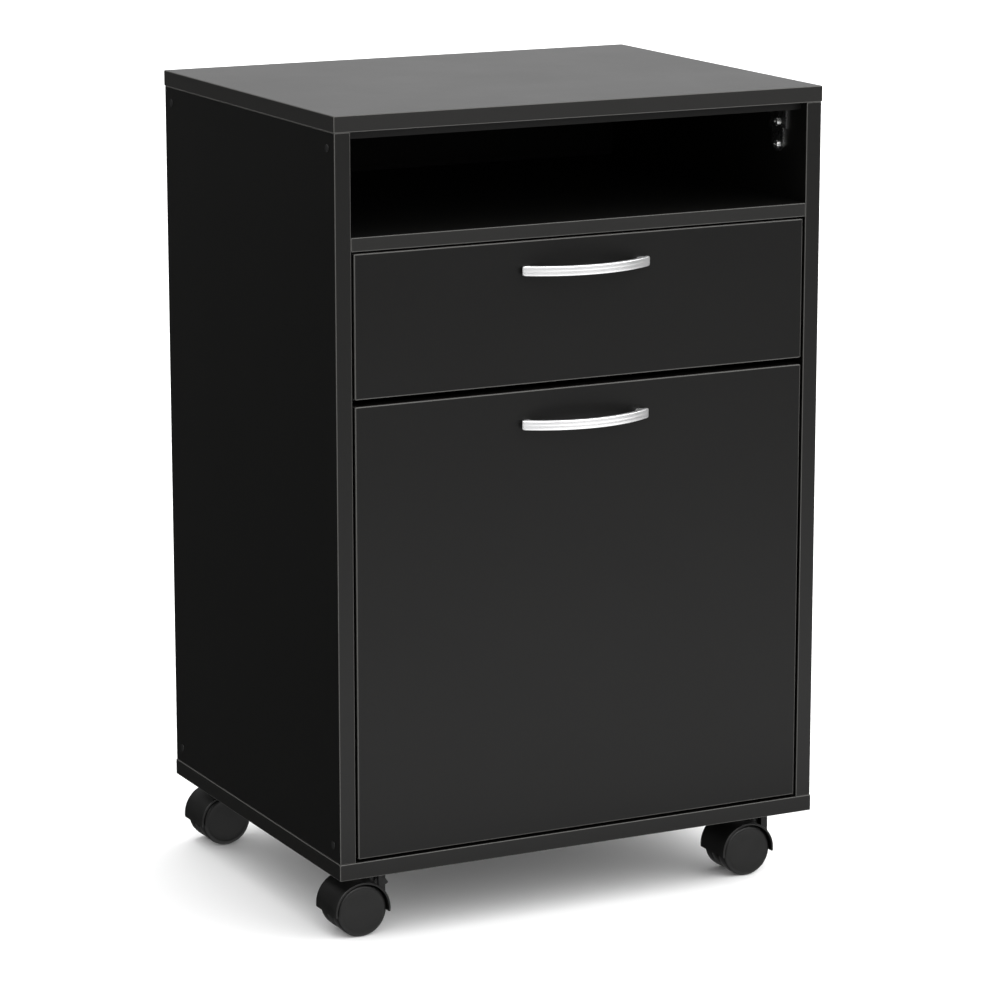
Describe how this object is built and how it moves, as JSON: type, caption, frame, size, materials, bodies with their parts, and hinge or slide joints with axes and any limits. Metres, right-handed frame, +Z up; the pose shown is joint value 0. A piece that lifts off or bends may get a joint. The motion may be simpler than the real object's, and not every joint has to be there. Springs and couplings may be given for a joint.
{
  "type": "rolling pedestal cabinet",
  "caption": "Black pedestal cabinet on swivel casters, with an open compartment, a shallow drawer and a deep file drawer, both with bow handles.",
  "frame": {"origin": "on the floor, in the middle of the footprint with the handles included", "axes": "+X to the right seen from the front, the drawers open towards -Y, +Z up"},
  "size_m": [0.4, 0.334, 0.612],
  "materials": {
    "black_board": "satin black melamine with matching edge band",
    "drawer_board": "black melamine board",
    "hardboard": "thin board, painted black",
    "satin_silver": "satin brushed",
    "zinc_steel": "bright zinc plated",
    "runner_steel": "black epoxy coat",
    "screw_steel": "zinc plated",
    "caster_plastic": "moulded nylon, satin",
    "roller_plastic": "moulded nylon",
    "cap_plastic": "moulded"
  },
  "bodies": {
    "cabinet": {"top_panel": "black_board", "bottom_panel": "black_board", "left_side_panel": "black_board", "right_side_panel": "black_board", "back_panel": "hardboard", "shelf_panel": "black_board", "top_front_rail": "black_board", "corner_brackets": "zinc_steel", "bracket_screws": "screw_steel", "connector_pins": "screw_steel", "cover_caps": "cap_plastic", "upper_left_runner": "runner_steel", "upper_right_runner": "runner_steel", "lower_left_runner": "runner_steel", "lower_right_runner": "runner_steel", "runner_screws": "screw_steel", "caster_plates": "zinc_steel", "caster_screws": "screw_steel"},
    "upper_drawer": {"upper_drawer_front": "black_board", "upper_drawer_left_side": "drawer_board", "upper_drawer_right_side": "drawer_board", "upper_drawer_back": "drawer_board", "upper_drawer_bottom": "hardboard", "upper_drawer_rails": "runner_steel", "upper_drawer_screws": "screw_steel", "upper_handle": "satin_silver"},
    "upper_left_cabinet_roller": {"upper_left_cabinet_roller": "roller_plastic"},
    "upper_left_drawer_roller": {"upper_left_drawer_roller": "roller_plastic"},
    "upper_right_cabinet_roller": {"upper_right_cabinet_roller": "roller_plastic"},
    "upper_right_drawer_roller": {"upper_right_drawer_roller": "roller_plastic"},
    "lower_drawer": {"lower_drawer_front": "black_board", "lower_drawer_left_side": "drawer_board", "lower_drawer_right_side": "drawer_board", "lower_drawer_back": "drawer_board", "lower_drawer_bottom": "hardboard", "lower_drawer_rails": "runner_steel", "lower_drawer_screws": "screw_steel", "lower_handle": "satin_silver"},
    "lower_left_cabinet_roller": {"lower_left_cabinet_roller": "roller_plastic"},
    "lower_left_drawer_roller": {"lower_left_drawer_roller": "roller_plastic"},
    "lower_right_cabinet_roller": {"lower_right_cabinet_roller": "roller_plastic"},
    "lower_right_drawer_roller": {"lower_right_drawer_roller": "roller_plastic"},
    "front_left_caster": {"front_left_caster_hood": "caster_plastic", "front_left_caster_axle": "zinc_steel"},
    "front_left_caster_outer_wheel": {"front_left_caster_outer_wheel": "caster_plastic"},
    "front_left_caster_inner_wheel": {"front_left_caster_inner_wheel": "caster_plastic"},
    "front_left_brake_lever": {"front_left_brake_lever": "caster_plastic"},
    "front_right_caster": {"front_right_caster_hood": "caster_plastic", "front_right_caster_axle": "zinc_steel"},
    "front_right_caster_outer_wheel": {"front_right_caster_outer_wheel": "caster_plastic"},
    "front_right_caster_inner_wheel": {"front_right_caster_inner_wheel": "caster_plastic"},
    "front_right_brake_lever": {"front_right_brake_lever": "caster_plastic"},
    "rear_left_caster": {"rear_left_caster_hood": "caster_plastic", "rear_left_caster_axle": "zinc_steel"},
    "rear_left_caster_outer_wheel": {"rear_left_caster_outer_wheel": "caster_plastic"},
    "rear_left_caster_inner_wheel": {"rear_left_caster_inner_wheel": "caster_plastic"},
    "rear_right_caster": {"rear_right_caster_hood": "caster_plastic", "rear_right_caster_axle": "zinc_steel"},
    "rear_right_caster_outer_wheel": {"rear_right_caster_outer_wheel": "caster_plastic"},
    "rear_right_caster_inner_wheel": {"rear_right_caster_inner_wheel": "caster_plastic"}
  },
  "joints": [
    {"name": "upper_drawer_slide", "type": "slide", "parent": "cabinet", "child": "upper_drawer", "axis": [0, -1, 0], "range_m": [0, 0.19]},
    {"name": "upper_left_cabinet_roller_spin", "type": "hinge", "parent": "cabinet", "child": "upper_left_cabinet_roller", "pos_m": [-0.181, -0.12, 0.4319], "axis": [1, 0, 0], "range_deg": [-10, 1200]},
    {"name": "upper_left_drawer_roller_spin", "type": "hinge", "parent": "upper_drawer", "child": "upper_left_drawer_roller", "pos_m": [-0.1805, 0.098, 0.4319], "axis": [1, 0, 0], "range_deg": [-10, 1200]},
    {"name": "upper_right_cabinet_roller_spin", "type": "hinge", "parent": "cabinet", "child": "upper_right_cabinet_roller", "pos_m": [0.181, -0.12, 0.4319], "axis": [1, 0, 0], "range_deg": [-10, 1200]},
    {"name": "upper_right_drawer_roller_spin", "type": "hinge", "parent": "upper_drawer", "child": "upper_right_drawer_roller", "pos_m": [0.1805, 0.098, 0.4319], "axis": [1, 0, 0], "range_deg": [-10, 1200]},
    {"name": "lower_drawer_slide", "type": "slide", "parent": "cabinet", "child": "lower_drawer", "axis": [0, -1, 0], "range_m": [0, 0.19]},
    {"name": "lower_left_cabinet_roller_spin", "type": "hinge", "parent": "cabinet", "child": "lower_left_cabinet_roller", "pos_m": [-0.181, -0.12, 0.0893], "axis": [1, 0, 0], "range_deg": [-10, 1200]},
    {"name": "lower_left_drawer_roller_spin", "type": "hinge", "parent": "lower_drawer", "child": "lower_left_drawer_roller", "pos_m": [-0.1805, 0.098, 0.0893], "axis": [1, 0, 0], "range_deg": [-10, 1200]},
    {"name": "lower_right_cabinet_roller_spin", "type": "hinge", "parent": "cabinet", "child": "lower_right_cabinet_roller", "pos_m": [0.181, -0.12, 0.0893], "axis": [1, 0, 0], "range_deg": [-10, 1200]},
    {"name": "lower_right_drawer_roller_spin", "type": "hinge", "parent": "lower_drawer", "child": "lower_right_drawer_roller", "pos_m": [0.1805, 0.098, 0.0893], "axis": [1, 0, 0], "range_deg": [-10, 1200]},
    {"name": "front_left_caster_swivel", "type": "hinge", "parent": "cabinet", "child": "front_left_caster", "pos_m": [-0.164, -0.117, 0.04], "axis": [0, 0, 1], "continuous": true},
    {"name": "front_left_caster_outer_wheel_roll", "type": "hinge", "parent": "front_left_caster", "child": "front_left_caster_outer_wheel", "pos_m": [-0.176, -0.12775, 0.02], "axis": [0, 1, 0], "continuous": true},
    {"name": "front_left_caster_inner_wheel_roll", "type": "hinge", "parent": "front_left_caster", "child": "front_left_caster_inner_wheel", "pos_m": [-0.176, -0.10625, 0.02], "axis": [0, 1, 0], "continuous": true},
    {"name": "front_left_brake_lever_hinge", "type": "hinge", "parent": "front_left_caster", "child": "front_left_brake_lever", "pos_m": [-0.1555, -0.117, 0.0413], "axis": [0, -1, 0], "range_deg": [-36, 0]},
    {"name": "front_right_caster_swivel", "type": "hinge", "parent": "cabinet", "child": "front_right_caster", "pos_m": [0.164, -0.117, 0.04], "axis": [0, 0, 1], "continuous": true},
    {"name": "front_right_caster_outer_wheel_roll", "type": "hinge", "parent": "front_right_caster", "child": "front_right_caster_outer_wheel", "pos_m": [0.152, -0.12775, 0.02], "axis": [0, 1, 0], "continuous": true},
    {"name": "front_right_caster_inner_wheel_roll", "type": "hinge", "parent": "front_right_caster", "child": "front_right_caster_inner_wheel", "pos_m": [0.152, -0.10625, 0.02], "axis": [0, 1, 0], "continuous": true},
    {"name": "front_right_brake_lever_hinge", "type": "hinge", "parent": "front_right_caster", "child": "front_right_brake_lever", "pos_m": [0.1725, -0.117, 0.0413], "axis": [0, -1, 0], "range_deg": [0, 36]},
    {"name": "rear_left_caster_swivel", "type": "hinge", "parent": "cabinet", "child": "rear_left_caster", "pos_m": [-0.164, 0.137, 0.04], "axis": [0, 0, 1], "continuous": true},
    {"name": "rear_left_caster_outer_wheel_roll", "type": "hinge", "parent": "rear_left_caster", "child": "rear_left_caster_outer_wheel", "pos_m": [-0.176, 0.14775, 0.02], "axis": [0, 1, 0], "continuous": true},
    {"name": "rear_left_caster_inner_wheel_roll", "type": "hinge", "parent": "rear_left_caster", "child": "rear_left_caster_inner_wheel", "pos_m": [-0.176, 0.12625, 0.02], "axis": [0, 1, 0], "continuous": true},
    {"name": "rear_right_caster_swivel", "type": "hinge", "parent": "cabinet", "child": "rear_right_caster", "pos_m": [0.164, 0.137, 0.04], "axis": [0, 0, 1], "continuous": true},
    {"name": "rear_right_caster_outer_wheel_roll", "type": "hinge", "parent": "rear_right_caster", "child": "rear_right_caster_outer_wheel", "pos_m": [0.152, 0.14775, 0.02], "axis": [0, 1, 0], "continuous": true},
    {"name": "rear_right_caster_inner_wheel_roll", "type": "hinge", "parent": "rear_right_caster", "child": "rear_right_caster_inner_wheel", "pos_m": [0.152, 0.12625, 0.02], "axis": [0, 1, 0], "continuous": true}
  ],
  "couplings": [
    {"joint": "upper_left_cabinet_roller_spin", "follows": "upper_drawer_slide", "rad_per_m": 106.38},
    {"joint": "upper_left_drawer_roller_spin", "follows": "upper_drawer_slide", "rad_per_m": 106.38},
    {"joint": "upper_right_cabinet_roller_spin", "follows": "upper_drawer_slide", "rad_per_m": 106.38},
    {"joint": "upper_right_drawer_roller_spin", "follows": "upper_drawer_slide", "rad_per_m": 106.38},
    {"joint": "lower_left_cabinet_roller_spin", "follows": "lower_drawer_slide", "rad_per_m": 106.38},
    {"joint": "lower_left_drawer_roller_spin", "follows": "lower_drawer_slide", "rad_per_m": 106.38},
    {"joint": "lower_right_cabinet_roller_spin", "follows": "lower_drawer_slide", "rad_per_m": 106.38},
    {"joint": "lower_right_drawer_roller_spin", "follows": "lower_drawer_slide", "rad_per_m": 106.38}
  ]
}
